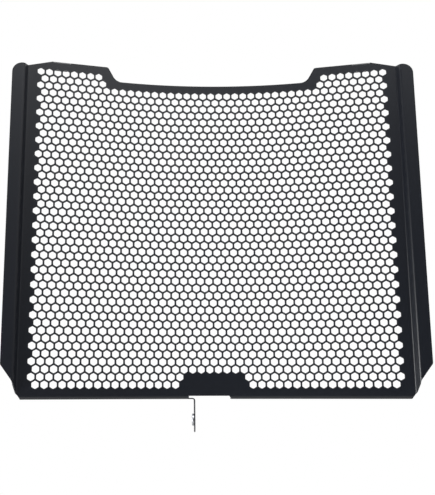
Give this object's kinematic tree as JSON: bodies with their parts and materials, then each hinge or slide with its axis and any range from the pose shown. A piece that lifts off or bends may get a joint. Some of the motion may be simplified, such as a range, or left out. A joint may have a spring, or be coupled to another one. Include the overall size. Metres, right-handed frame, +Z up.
{
  "type": "radiator guard",
  "caption": "Motorcycle radiator guard: a rolled black sheet with a honeycomb of holes, folded side and bottom edges, raised top corners, two hooks and a drop tab with a press nut.",
  "frame": {"origin": "middle of the press nut's thread, in the tab below the sheet", "axes": "+X runs across the guard, to the viewer's right as it is seen from the front, +Y points back towards the radiator and +Z points up"},
  "size_m": [0.3813, 0.0553, 0.3527],
  "materials": {
    "black_finish": "satin black powder coat",
    "zinc": "bright zinc plate"
  },
  "bodies": {
    "root": {"guard_sheet": "black_finish", "press_nut": "zinc"}
  },
  "joints": []
}
